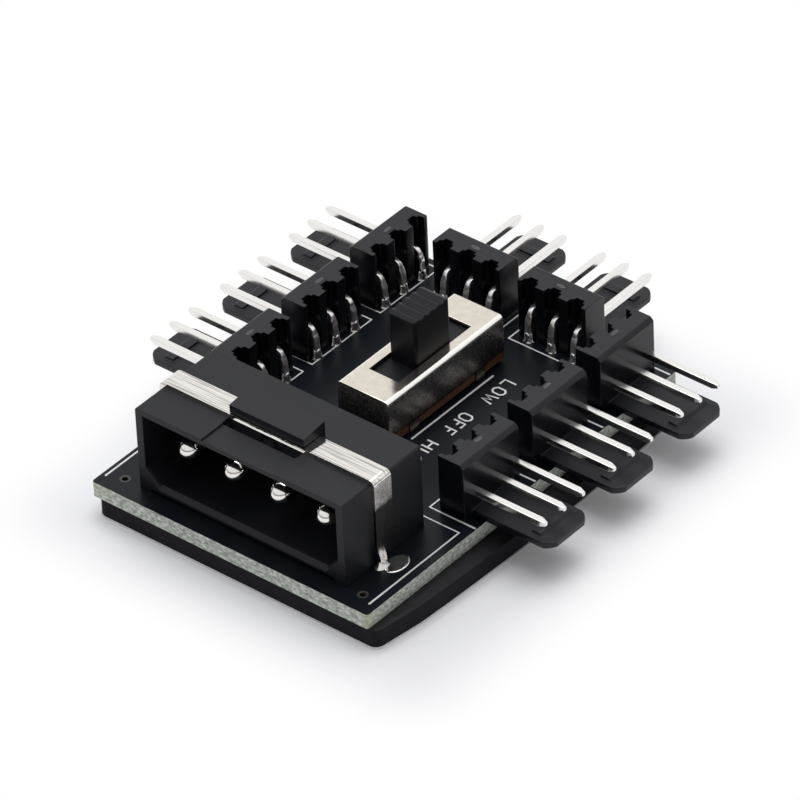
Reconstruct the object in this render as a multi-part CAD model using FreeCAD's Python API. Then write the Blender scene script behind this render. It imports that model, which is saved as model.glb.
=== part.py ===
import FreeCAD, Part
import math
import os

from FreeCAD import Rotation, Vector

os.makedirs("parts", exist_ok=True)

# PC fan controller hub: a small circuit board on an adhesive foam pad. It carries eight
# three-pin fan headers, a four-pin power socket and a three-position slide switch.
# Millimetres. Origin at the middle of the board, on the underside of the release liner.
# +Z is up, -Y is the side with the power socket's mouth.

# Circuit board. Its length follows from what stands on it, further down.
board_width = 30.5
board_back_margin = 1.36
board_thickness = 1.5
board_corner_radius = 0.3
via_diameter = 0.6
via_front_inset = 1.95
via_side_inset = 2.1

# Foam pad and its release liner, cut by hand a little wider than the board
liner_thickness = 0.12
liner_margin = 0.12
foam_thickness = 1.75
pad_end_inset = 0.05
pad_left_inset = 0.4
pad_right_overhang_front = 0.8
pad_right_overhang_shoulder = 1.5
pad_right_overhang_middle = 2.0
pad_right_overhang_back = 1.2
pad_shoulder_setback = 5.0
pad_corner_radius = 0.9
pad_relief_margin = 0.6
pad_relief_gap = 0.2

# Soldered tails below the board
tail_length = 0.9
solder_height = 0.7
solder_radius = 0.8
solder_tip_share = 0.6
solder_sides = 8

# Fan headers, measured from the board's edge outward and from the board's top upward
pin_pitch = 2.54
pin_side = 0.64
pin_height = 2.85
pin_reach = 6.65
pin_leg_inset = 4.26
pin_bend_radius = 0.25
pin_tip_taper = 0.6
pin_tip_side = 0.34
header_end_margin = 1.21
header_height = 6.0
header_depth = 2.75
header_outer_inset = 1.3
header_chamfer_depth = 0.5
header_chamfer_drop = 0.25
channel_width = 1.5
channel_step_depth = 0.6
channel_slot_width = 0.9
channel_slot_depth = 1.0
tab_width = 5.5
tab_thickness = 0.65
tab_lift = 0.2
tab_reach = 7.15
tab_corner = 0.9
ramp_width = 4.2
ramp_length = 1.6
ramp_height = 0.25
ramp_tip_inset = 0.9
side_header_count = 3
side_header_gap = 1.82
back_header_count = 2
back_header_gap = 1.98

# Power socket, measured from the board's front edge and from the board's top
socket_front_inset = 1.9
socket_end_margin = 3.78
socket_depth = 10.3
socket_header_gap = 2.3
socket_height = 8.5
socket_side_wall = 0.8
socket_top_wall = 0.6
socket_floor_wall = 0.7
socket_lift = 0.6
socket_foot_width = 1.3
socket_edge_radius = 0.25
mouth_corner = 1.4
mouth_depth = 6.7
socket_web = 1.4
tail_channel_width = 2.2
relief_depth = 0.2
relief_half_width = 4.0

power_pin_pitch = 5.08
power_pin_diameter = 2.1
power_pin_height = 4.4
power_pin_setback = 1.4
power_pin_tip = [(0.0, 0.42), (0.22, 0.8), (0.7, 1.0)]
power_shank_diameter = 1.6
power_shank_neck = 0.3
power_tail_side = 1.1
power_tail_bend_radius = 0.3
power_tail_back_inset = 1.0
power_solder_radius = 1.2

# Metal strap that holds the power socket down
strap_width = 2.2
strap_thickness = 0.4
strap_setback = 3.7
strap_bend_radius = 0.6
strap_foot_height = 2.0
strap_foot_offset = 0.6
strap_prong_width = 0.8

# Moulded hook over the strap and the window in front of it
hook_half_width = 4.1
hook_gap = 0.05
hook_root = 0.7
hook_nose_setback = 0.15
hook_nose_thickness = 0.8
hook_rise = 0.3
window_front_gap = 0.8

# Slide switch, measured from the board's centre line and the power socket's back
switch_x = -0.35
socket_switch_gap = 6.3
travel = 2.0
can_width = 5.7
can_length = 15.7
can_thickness = 0.3
can_top_height = 5.0
can_bend_radius = 0.45
can_corner_radius = 0.15
slot_side_gap = 0.12
slot_end_gap = 0.6
base_lift = 0.4
base_thickness = 0.85
base_edge_inset = 0.05
base_boss_height = 0.3
base_boss_gap = 0.1
clip_tab_width = 1.2
clip_tab_spacing = 9.0
clip_tab_fold = 0.7
knob_width = 3.0
knob_length = 4.7
knob_height = 4.7
knob_ridges = 5
knob_ridge_depth = 0.25
knob_edge_radius = 0.3
slider_thickness = 0.9
slider_top_gap = 0.15
slider_side_gap = 0.25
slider_end_gap = 0.15
terminal_row_spacing = 2.6
terminal_thickness = 0.3
terminal_width = 0.9
terminal_tail_width = 0.6
terminal_head_gap = 0.65
contact_thickness = 0.15
contact_gap = 0.04
contact_base_gap = 0.12
contact_overlap = 0.9
detent_width = 0.9
detent_length = 4.4
detent_thickness = 0.12
detent_hump = 0.45
detent_groove_depth = 0.12
detent_groove_width = 0.7
detent_gap = 0.05

# Levels and edges that follow from the sizes above
foam_bottom = liner_thickness
board_bottom = foam_bottom + foam_thickness
board_top = board_bottom + board_thickness
header_width = 2 * pin_pitch + 2 * header_end_margin
side_header_pitch = header_width + side_header_gap
back_header_pitch = header_width + back_header_gap
side_row_start = socket_front_inset + socket_depth + socket_header_gap
side_row_length = header_width + (side_header_count - 1) * side_header_pitch
board_length = side_row_start + side_row_length + board_back_margin
board_right = board_width / 2
board_front = -board_length / 2
board_back = board_length / 2
overlap = 0.5
parallel_share = 0.999
tolerance = 0.01


def box(x0, x1, y0, y1, z0, z1):
    return Part.makeBox(x1 - x0, y1 - y0, z1 - z0, Vector(x0, y0, z0))


def face(points):
    return Part.Face(Part.makePolygon(points + [points[0]]))


def profile_x(points, x0, x1):
    """Extrudes an outline of (y, z) points from x0 to x1."""
    outline = face([Vector(x0, y, z) for y, z in points])
    return outline.extrude(Vector(x1 - x0, 0, 0))


def profile_y(points, y0, y1):
    """Extrudes an outline of (x, z) points from y0 to y1."""
    outline = face([Vector(x, y0, z) for x, z in points])
    return outline.extrude(Vector(0, y1 - y0, 0))


def fuse(shapes):
    return shapes[0].multiFuse(shapes[1:]).removeSplitter()


def frustum(low, high):
    """A flat-sided solid between two outlines with the same number of corners."""
    sides = []
    for n in range(len(low)):
        last = n - 1
        sides.append(face([low[last], low[n], high[n], high[last]]))
    return Part.Solid(Part.Shell([face(low), face(high)] + sides))


def edges_where(shape, test):
    return [edge for edge in shape.Edges if test(edge)]


def along(edge, axis):
    """True for a straight edge that runs along axis."""
    if edge.Curve.TypeId != "Part::GeomLine":
        return False
    direction = edge.Vertexes[1].Point - edge.Vertexes[0].Point
    return abs(direction.normalize().dot(axis)) > parallel_share


def at_top(edge, height):
    return edge.BoundBox.ZMin > height - tolerance


def save(shape, name):
    shape.exportStep("parts/" + name + ".step")


# Foam pad and release liner


def pad_outline(margin, z):
    left = -board_right + pad_left_inset - margin
    front = board_front + pad_end_inset - margin
    back = board_back - pad_end_inset + margin
    shoulder = board_front + pad_shoulder_setback
    right_front = Vector(board_right + pad_right_overhang_front + margin, front, z)
    right_shoulder = Vector(board_right + pad_right_overhang_shoulder + margin, shoulder, z)
    right_middle = Vector(board_right + pad_right_overhang_middle + margin, 0, z)
    right_back = Vector(board_right + pad_right_overhang_back + margin, back, z)
    left_back = Vector(left, back, z)
    left_front = Vector(left, front, z)
    edges = [
        Part.makeLine(right_front, right_shoulder),
        Part.Arc(right_shoulder, right_middle, right_back).toShape(),
        Part.makeLine(right_back, left_back),
        Part.makeLine(left_back, left_front),
        Part.makeLine(left_front, right_front),
    ]
    return Part.Face(Part.Wire(edges))


def pad_plate(margin, z0, z1):
    plate = pad_outline(margin, z0).extrude(Vector(0, 0, z1 - z0))
    corners = edges_where(plate, lambda e: along(e, Vector(0, 0, 1)))
    return plate.makeFillet(pad_corner_radius, corners)


def tail_relief(x0, x1, y0, y1):
    """The hollow that a row of soldered tails presses into the foam."""
    depth = tail_length + pad_relief_gap
    return box(
        x0 - pad_relief_margin - solder_radius,
        x1 + pad_relief_margin + solder_radius,
        y0 - pad_relief_margin - solder_radius,
        y1 + pad_relief_margin + solder_radius,
        board_bottom - depth,
        board_bottom + overlap,
    )


# Fan headers. Each is made about its own origin: X runs along the row of pins, Y points out
# over the board's edge, which is Y = 0, and Z = 0 is the top of the board.

pin_places = [-pin_pitch, 0, pin_pitch]
pin_functions = ["ground", "supply", "sense"]


def bent_bar(x, side, start, leg, height, bottom, bend):
    """A square bar that runs along Y from start, turns down at leg and ends at bottom."""
    half = side / 2
    sign = 1 if start > leg else -1
    turn = leg + sign * (half + bend)
    pivot = height - half - bend

    def at(y, z):
        return Vector(x - half, y, z)

    def corner(radius):
        slant = radius * math.sqrt(0.5)
        return Part.Arc(
            at(turn, pivot + radius),
            at(turn - sign * slant, pivot + slant),
            at(turn - sign * radius, pivot),
        ).toShape()

    outside = leg - sign * half
    inside = leg + sign * half
    edges = [
        Part.makeLine(at(start, height + half), at(turn, height + half)),
        corner(bend + side),
        Part.makeLine(at(outside, pivot), at(outside, bottom)),
        Part.makeLine(at(outside, bottom), at(inside, bottom)),
        Part.makeLine(at(inside, bottom), at(inside, pivot)),
        corner(bend),
        Part.makeLine(at(turn, height - half), at(start, height - half)),
        Part.makeLine(at(start, height - half), at(start, height + half)),
    ]
    outline = Part.Face(Part.Wire(Part.__sortEdges__(edges)))
    return outline.extrude(Vector(side, 0, 0))


def square(x, y, half):
    low = pin_height - half
    high = pin_height + half
    return [
        Vector(x - half, y, low),
        Vector(x + half, y, low),
        Vector(x + half, y, high),
        Vector(x - half, y, high),
    ]


def header_pin(x):
    end = pin_reach - pin_tip_taper
    tail = -board_thickness - tail_length
    bar = bent_bar(x, pin_side, end, -pin_leg_inset, pin_height, tail, pin_bend_radius)
    large = square(x, end, pin_side / 2)
    small = square(x, pin_reach, pin_tip_side / 2)
    return fuse([bar, frustum(large, small)])


def header_tab():
    """The friction tab under the pins, with cut corners and a low ramp near its end."""
    half = tab_width / 2
    top = tab_lift + tab_thickness
    root = -header_outer_inset - overlap
    outline = [
        Vector(-half, root, tab_lift),
        Vector(half, root, tab_lift),
        Vector(half, tab_reach - tab_corner, tab_lift),
        Vector(half - tab_corner, tab_reach, tab_lift),
        Vector(-half + tab_corner, tab_reach, tab_lift),
        Vector(-half, tab_reach - tab_corner, tab_lift),
    ]
    plate = face(outline).extrude(Vector(0, 0, tab_thickness))
    ramp_end = tab_reach - ramp_tip_inset
    ramp_start = ramp_end - ramp_length
    ramp = profile_x(
        [
            (ramp_start, top),
            (ramp_start, top - tab_thickness / 2),
            (ramp_end, top - tab_thickness / 2),
            (ramp_end, top),
            (ramp_start + ramp_length / 3, top + ramp_height),
        ],
        -ramp_width / 2,
        ramp_width / 2,
    )
    return fuse([plate, ramp])


def header_housing():
    half = header_width / 2
    outer = -header_outer_inset
    inner = outer - header_depth
    block = profile_x(
        [
            (inner, 0),
            (outer, 0),
            (outer, header_height - header_chamfer_drop),
            (outer - header_chamfer_depth, header_height),
            (inner, header_height),
        ],
        -half,
        half,
    )
    cuts = []
    for x in pin_places:
        for width, depth in (
            (channel_width, channel_step_depth),
            (channel_slot_width, channel_slot_depth),
        ):
            cuts.append(
                box(
                    x - width / 2,
                    x + width / 2,
                    inner - overlap,
                    inner + depth,
                    -overlap,
                    header_height + overlap,
                )
            )
        cuts.append(header_pin(x))
    return fuse([block, header_tab()]).cut(cuts).removeSplitter()


def header_seats():
    """Name, rotation about Z and place of each header's origin."""
    seats = []
    first = board_front + side_row_start + header_width / 2
    for n in range(side_header_count):
        y = first + n * side_header_pitch
        seats.append(("left_" + str(n + 1), 90, Vector(-board_right, y, board_top)))
        seats.append(("right_" + str(n + 1), -90, Vector(board_right, y, board_top)))
    for n in range(back_header_count):
        x = (n - (back_header_count - 1) / 2) * back_header_pitch
        seats.append(("back_" + str(n + 1), 0, Vector(x, board_back, board_top)))
    return seats


def seated(shape, angle, place):
    copy = shape.copy()
    copy.rotate(Vector(0, 0, 0), Vector(0, 0, 1), angle)
    copy.translate(place)
    return copy


def header_tail_point(x, angle, place):
    turn = Rotation(Vector(0, 0, 1), angle)
    return turn.multVec(Vector(x, -pin_leg_inset, 0)) + place


# Power socket

socket_front = board_front + socket_front_inset
socket_back = socket_front + socket_depth
socket_half = 1.5 * power_pin_pitch + socket_end_margin
socket_top = board_top + socket_height
mouth_half = socket_half - socket_side_wall
mouth_floor = board_top + socket_lift + socket_floor_wall
mouth_top = socket_top - socket_top_wall
mouth_back = socket_front + mouth_depth
web_back = mouth_back + socket_web
power_pin_z = board_top + power_pin_height
power_tail_y = socket_back - power_tail_back_inset
power_pin_places = [(n - 1.5) * power_pin_pitch for n in range(4)]
strap_front = socket_front + strap_setback
strap_back = strap_front + strap_width
strap_top = socket_top + strap_thickness
prong_x = socket_half + strap_thickness / 2 + strap_foot_offset
prong_y = strap_front + strap_prong_width / 2


def power_pin(x):
    """A turned pin: rounded nose, slimmer shank in the web, square tail bent into the board."""
    radius = power_pin_diameter / 2
    shank = power_shank_diameter / 2
    nose = socket_front + power_pin_setback
    shoulder = mouth_back - power_shank_neck
    section = [(nose, 0)]
    section += [(nose + back, share * radius) for back, share in power_pin_tip]
    section += [(shoulder, radius), (shoulder, shank), (web_back, shank), (web_back, 0)]
    outline = face([Vector(x, y, power_pin_z + r) for y, r in section])
    barrel = outline.revolve(Vector(x, nose, power_pin_z), Vector(0, 1, 0), 360)
    tail = bent_bar(
        x,
        power_tail_side,
        web_back - overlap,
        power_tail_y,
        power_pin_z,
        board_bottom - tail_length,
        power_tail_bend_radius,
    )
    return fuse([barrel, tail])


def socket_body():
    body = box(-socket_half, socket_half, socket_front, socket_back, board_top, socket_top)
    body = body.makeFillet(
        socket_edge_radius,
        edges_where(body, lambda e: along(e, Vector(0, 1, 0)) and at_top(e, socket_top)),
    )
    inner_foot = socket_half - socket_foot_width
    under = box(
        -inner_foot,
        inner_foot,
        socket_front - overlap,
        web_back,
        board_top - overlap,
        board_top + socket_lift,
    )
    mouth = profile_y(
        [
            (-mouth_half + mouth_corner, mouth_floor),
            (mouth_half - mouth_corner, mouth_floor),
            (mouth_half, mouth_floor + mouth_corner),
            (mouth_half, mouth_top),
            (-mouth_half, mouth_top),
            (-mouth_half, mouth_floor + mouth_corner),
        ],
        socket_front - overlap,
        mouth_back,
    )
    relief = box(
        -relief_half_width,
        relief_half_width,
        socket_front - overlap,
        strap_front - window_front_gap,
        socket_top - relief_depth,
        socket_top + overlap,
    )
    window = box(
        -hook_half_width,
        hook_half_width,
        strap_front - window_front_gap,
        strap_back + hook_gap,
        mouth_top - overlap,
        socket_top + overlap,
    )
    channels = [
        box(
            x - tail_channel_width / 2,
            x + tail_channel_width / 2,
            web_back,
            socket_back + overlap,
            board_top - overlap,
            power_pin_z + power_pin_diameter,
        )
        for x in power_pin_places
    ]
    pins = [power_pin(x) for x in power_pin_places]
    return fuse([body.cut([under, mouth, relief, window] + channels), strap_hook()]).cut(pins)


def strap_hook():
    """A sloped nose, rooted behind the strap, that reaches forward over it."""
    root_front = strap_back + hook_gap
    root_back = root_front + hook_root
    nose_under = strap_top + hook_gap
    return profile_x(
        [
            (root_front, socket_top - socket_top_wall),
            (root_back, socket_top - socket_top_wall),
            (root_back, nose_under + hook_nose_thickness + hook_rise),
            (strap_front + hook_nose_setback, nose_under + hook_nose_thickness),
            (strap_front + hook_nose_setback, nose_under),
            (root_front, nose_under),
        ],
        -hook_half_width,
        hook_half_width,
    )


def strap_profile():
    """Section of the strap in X and Z: over the socket, down its sides and out to the prongs."""
    inner = socket_half
    outer = socket_half + strap_thickness
    knee = board_top + strap_foot_height
    ankle = knee - strap_foot_offset
    tail = board_bottom - tail_length
    right = [
        (outer, strap_top),
        (outer, knee),
        (outer + strap_foot_offset, ankle),
        (outer + strap_foot_offset, tail),
        (inner + strap_foot_offset, tail),
        (inner + strap_foot_offset, ankle),
        (inner, knee),
        (inner, socket_top),
    ]
    left = [(-x, z) for x, z in reversed(right)]
    return right + left


def socket_strap():
    """Below its knees the strap narrows to a prong at the front, which passes the board."""
    strap = profile_y(strap_profile(), strap_front, strap_back)
    bends = edges_where(
        strap,
        lambda e: along(e, Vector(0, 1, 0)) and at_top(e, strap_top),
    )
    strap = strap.makeFillet(strap_bend_radius, bends)
    reach = socket_half + strap_foot_offset + strap_thickness + overlap
    beside_prong = box(
        -reach,
        reach,
        strap_front + strap_prong_width,
        strap_back + overlap,
        board_bottom - tail_length - overlap,
        board_top + strap_foot_height,
    )
    return strap.cut(beside_prong)


# Slide switch

can_front = socket_back + socket_switch_gap
can_back = can_front + can_length
switch_y = (can_front + can_back) / 2
can_left = switch_x - can_width / 2
can_right = switch_x + can_width / 2
can_top = board_top + can_top_height
base_bottom = board_top + base_lift
base_top = base_bottom + base_thickness
can_bottom = base_top
boss_top = base_top + base_boss_height
slot_width = knob_width + 2 * slot_side_gap
slot_length = knob_length + 2 * (travel + slot_end_gap)
slider_top = can_top - can_thickness - slider_top_gap
slider_bottom = slider_top - slider_thickness
slider_width = can_width - 2 * (can_thickness + slider_side_gap)
slider_length = can_length - 2 * (can_thickness + travel + slider_end_gap)
terminal_x = [switch_x - terminal_row_spacing / 2, switch_x + terminal_row_spacing / 2]
terminal_y = [switch_y + (n - 1.5) * travel for n in range(4)]
clip_tab_y = [switch_y - clip_tab_spacing / 2, switch_y + clip_tab_spacing / 2]


def switch_can():
    """A folded sheet box: the long edges are rolled, the edges of the two ends nearly sharp."""
    outer = box(can_left, can_right, can_front, can_back, can_bottom, can_top)
    rolled = edges_where(
        outer, lambda e: along(e, Vector(0, 1, 0)) and at_top(e, can_top)
    )
    outer = outer.makeFillet(can_bend_radius, rolled)
    ends = edges_where(
        outer,
        lambda e: e.BoundBox.YLength < tolerance and e.BoundBox.ZMax > can_bottom + tolerance,
    )
    outer = outer.makeFillet(can_corner_radius, ends)
    inner = box(
        can_left + can_thickness,
        can_right - can_thickness,
        can_front + can_thickness,
        can_back - can_thickness,
        can_bottom - overlap,
        can_top - can_thickness,
    )
    slot = box(
        switch_x - slot_width / 2,
        switch_x + slot_width / 2,
        switch_y - slot_length / 2,
        switch_y + slot_length / 2,
        can_top - can_thickness - overlap,
        can_top + overlap,
    )
    return fuse([outer.cut([inner, slot])] + clip_tabs(0))


def clip_tabs(margin):
    """The can's four tabs, which pass the base's edge notches and fold in under it."""
    tabs = []
    under = base_bottom - can_thickness
    for y in clip_tab_y:
        y0 = y - clip_tab_width / 2 - margin
        y1 = y + clip_tab_width / 2 + margin
        for x0, x1, fold in (
            (can_left, can_left + can_thickness, clip_tab_fold),
            (can_right - can_thickness, can_right, -clip_tab_fold),
        ):
            tabs.append(box(x0 - margin, x1 + margin, y0, y1, under, can_bottom))
            low = min(x0, x0 + fold)
            high = max(x1, x1 + fold)
            tabs.append(box(low, high, y0, y1, under, base_bottom))
    return tabs


def switch_base():
    plate = box(
        can_left + base_edge_inset,
        can_right - base_edge_inset,
        can_front + base_edge_inset,
        can_back - base_edge_inset,
        base_bottom,
        base_top,
    )
    rim = can_thickness + base_boss_gap
    boss = box(
        can_left + rim,
        can_right - rim,
        can_front + rim,
        can_back - rim,
        base_top - overlap,
        boss_top,
    )
    grooves = [
        box(
            switch_x - detent_width,
            switch_x + detent_width,
            switch_y + n * travel - detent_groove_width / 2,
            switch_y + n * travel + detent_groove_width / 2,
            boss_top - detent_groove_depth,
            boss_top + overlap,
        )
        for n in (-1, 0, 1)
    ]
    terminals = [switch_terminal(x, y) for x in terminal_x for y in terminal_y]
    return fuse([plate, boss]).cut(grooves + clip_tabs(base_boss_gap) + terminals)


def switch_terminal(x, y):
    """A stamped blade: a wide head above the base and a narrow tail through the board."""
    half = terminal_width / 2
    tail = terminal_tail_width / 2
    head = slider_bottom - contact_thickness - terminal_head_gap
    return profile_x(
        [
            (y - tail, board_bottom - tail_length),
            (y + tail, board_bottom - tail_length),
            (y + tail, board_top + base_lift),
            (y + half, board_top + base_lift),
            (y + half, head - half),
            (y + tail, head),
            (y - tail, head),
            (y - half, head - half),
            (y - half, board_top + base_lift),
            (y - tail, board_top + base_lift),
        ],
        x - terminal_thickness / 2,
        x + terminal_thickness / 2,
    )


def switch_contact(x):
    """A folded spring strip under the slider that bridges two blades of one row."""
    length = travel + contact_overlap
    inner = terminal_thickness / 2 + contact_gap
    outer = inner + contact_thickness
    low = boss_top + contact_base_gap
    return profile_y(
        [
            (x - outer, low),
            (x - inner, low),
            (x - inner, slider_bottom - contact_thickness),
            (x + inner, slider_bottom - contact_thickness),
            (x + inner, low),
            (x + outer, low),
            (x + outer, slider_bottom),
            (x - outer, slider_bottom),
        ],
        switch_y - length / 2,
        switch_y + length / 2,
    )


def detent_spring():
    """A bowed leaf between the two rows of blades; its hump rides on the base's grooves."""
    half = detent_length / 2
    top = slider_bottom
    low = boss_top + detent_gap
    ramp = (top - low) / 2
    centre = [
        (-half, top),
        (-detent_hump - ramp, top),
        (-detent_hump / 2, low + detent_thickness),
        (detent_hump / 2, low + detent_thickness),
        (detent_hump + ramp, top),
        (half, top),
    ]
    lower = [(y, z - detent_thickness) for y, z in reversed(centre)]
    return profile_x(
        [(switch_y + y, z) for y, z in centre + lower],
        switch_x - detent_width / 2,
        switch_x + detent_width / 2,
    )


def switch_slider():
    plate = box(
        switch_x - slider_width / 2,
        switch_x + slider_width / 2,
        switch_y - slider_length / 2,
        switch_y + slider_length / 2,
        slider_bottom,
        slider_top,
    )
    knob_top = can_top + knob_height
    front = switch_y - knob_length / 2
    back = switch_y + knob_length / 2
    knob = box(
        switch_x - knob_width / 2,
        switch_x + knob_width / 2,
        front,
        back,
        slider_top - slider_thickness / 2,
        knob_top,
    )
    knob = knob.makeFillet(
        knob_edge_radius, edges_where(knob, lambda e: along(e, Vector(0, 0, 1)))
    )
    step = knob_length / knob_ridges
    valleys = []
    for n in range(knob_ridges + 1):
        y = front + n * step
        valleys.append(
            profile_x(
                [
                    (y, knob_top - knob_ridge_depth),
                    (y + step / 2, knob_top + overlap),
                    (y - step / 2, knob_top + overlap),
                ],
                switch_x - knob_width,
                switch_x + knob_width,
            )
        )
    return fuse([plate, knob.cut(valleys)])


# Solder joints and holes. Solder fills each plated hole, so the board closes on the tail.


def ring(point, radius, z):
    step = 2 * math.pi / solder_sides
    turns = [n * step for n in range(solder_sides)]
    return [Vector(point.x + radius * math.cos(a), point.y + radius * math.sin(a), z) for a in turns]


def solder_joint(point, radius, tail):
    """A low cone of solder around a tail, under the board."""
    wide = ring(point, radius, board_bottom)
    narrow = ring(point, radius * solder_tip_share, board_bottom - solder_height)
    return frustum(narrow, wide).cut(tail)


def via(x):
    y = board_front + via_front_inset
    start = Vector(x, y, board_bottom - overlap)
    return Part.makeCylinder(via_diameter / 2, board_thickness + 2 * overlap, start)


# Build every piece, and note each soldered tail as it is placed

tails = []
reliefs = []
joints = []
housing = header_housing()
local_pins = [header_pin(x) for x in pin_places]

for seat_name, seat_angle, seat_place in header_seats():
    save(seated(housing, seat_angle, seat_place), "fan_header_" + seat_name)
    points = []
    for place_x, function, local_pin in zip(pin_places, pin_functions, local_pins):
        pin = seated(local_pin, seat_angle, seat_place)
        save(pin, "fan_pin_" + seat_name + "_" + function)
        points.append(header_tail_point(place_x, seat_angle, seat_place))
        tails.append(pin)
        joints.append(solder_joint(points[-1], solder_radius, pin))
    xs = [point.x for point in points]
    ys = [point.y for point in points]
    reliefs.append(tail_relief(min(xs), max(xs), min(ys), max(ys)))

save(socket_body(), "power_socket_housing")
for number, pin_x in enumerate(power_pin_places, start=1):
    pin = power_pin(pin_x)
    save(pin, "power_pin_" + str(number))
    tails.append(pin)
    joints.append(solder_joint(Vector(pin_x, power_tail_y, 0), power_solder_radius, pin))
reliefs.append(
    tail_relief(power_pin_places[0], power_pin_places[-1], power_tail_y, power_tail_y)
)

strap = socket_strap()
save(strap, "power_socket_strap")
tails.append(strap)
for foot_x in (-prong_x, prong_x):
    joints.append(solder_joint(Vector(foot_x, prong_y, 0), power_solder_radius, strap))
    reliefs.append(tail_relief(foot_x, foot_x, prong_y, prong_y))

save(switch_can(), "switch_can")
save(switch_base(), "switch_base")
save(switch_slider(), "switch_slider")
save(detent_spring(), "switch_detent_spring")
for side_name, row_x in zip(("left", "right"), terminal_x):
    save(switch_contact(row_x), "switch_contact_" + side_name)
    for number, blade_y in enumerate(terminal_y, start=1):
        blade = switch_terminal(row_x, blade_y)
        save(blade, "switch_terminal_" + side_name + "_" + str(number))
        tails.append(blade)
        joints.append(solder_joint(Vector(row_x, blade_y, 0), solder_radius, blade))
reliefs.append(tail_relief(terminal_x[0], terminal_x[1], terminal_y[0], terminal_y[-1]))

board = box(-board_right, board_right, board_front, board_back, board_bottom, board_top)
board = board.makeFillet(
    board_corner_radius, edges_where(board, lambda e: along(e, Vector(0, 0, 1)))
)
vias = [via(-board_right + via_side_inset), via(board_right - via_side_inset)]
save(board.cut(tails + vias), "circuit_board")
save(Part.makeCompound(joints), "solder_joints")
save(pad_plate(0, foam_bottom, board_bottom).cut(reliefs), "foam_pad")
save(pad_plate(liner_margin, 0, foam_bottom), "release_liner")
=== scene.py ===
import bmesh
import bpy
import math
from mathutils import Matrix, Vector


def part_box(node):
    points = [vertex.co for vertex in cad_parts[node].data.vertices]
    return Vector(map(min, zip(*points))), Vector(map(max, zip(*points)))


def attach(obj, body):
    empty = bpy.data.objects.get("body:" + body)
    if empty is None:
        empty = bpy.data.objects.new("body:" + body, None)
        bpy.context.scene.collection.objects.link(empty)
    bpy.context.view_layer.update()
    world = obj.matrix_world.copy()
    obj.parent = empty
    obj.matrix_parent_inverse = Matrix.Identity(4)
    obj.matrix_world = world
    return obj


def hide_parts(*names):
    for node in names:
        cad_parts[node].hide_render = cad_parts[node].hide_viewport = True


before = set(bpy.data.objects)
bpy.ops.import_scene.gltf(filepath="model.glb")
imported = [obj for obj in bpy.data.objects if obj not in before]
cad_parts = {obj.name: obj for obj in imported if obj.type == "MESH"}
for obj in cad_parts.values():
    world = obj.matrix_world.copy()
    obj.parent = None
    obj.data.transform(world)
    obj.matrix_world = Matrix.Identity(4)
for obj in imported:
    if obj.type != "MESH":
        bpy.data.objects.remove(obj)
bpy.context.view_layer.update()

mm = 0.001


# Release liner
# Coated paper that covers the pad's adhesive until the hub is stuck down. It is cut a hair
# wider than the foam, so that a pale line of it shows all round.


class Value:
    """A shader socket that takes part in formulas. Each operator adds a Math node."""

    def __init__(self, socket):
        self.socket = socket

    def maths(self, operation, first, second=0):
        """Adds a Math node to the same material and gives back what comes out of it."""
        node = self.socket.id_data.nodes.new("ShaderNodeMath")
        node.operation = operation
        plug(node.inputs[0], first)
        plug(node.inputs[1], second)
        return Value(node.outputs[0])

    def __add__(self, other):
        return self.maths("ADD", self, other)

    __radd__ = __add__

    def __sub__(self, other):
        return self.maths("SUBTRACT", self, other)

    def __rsub__(self, other):
        return self.maths("SUBTRACT", other, self)

    def __mul__(self, other):
        return self.maths("MULTIPLY", self, other)

    __rmul__ = __mul__

    def __gt__(self, other):
        return self.maths("GREATER_THAN", self, other)

    def __lt__(self, other):
        return self.maths("LESS_THAN", self, other)

    def __abs__(self):
        return self.maths("ABSOLUTE", self)


def plug(entry, value):
    """Links a Value to a socket, or sets the socket to a plain number or colour."""
    if isinstance(value, Value):
        entry.id_data.links.new(value.socket, entry)
    else:
        entry.default_value = value


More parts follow.
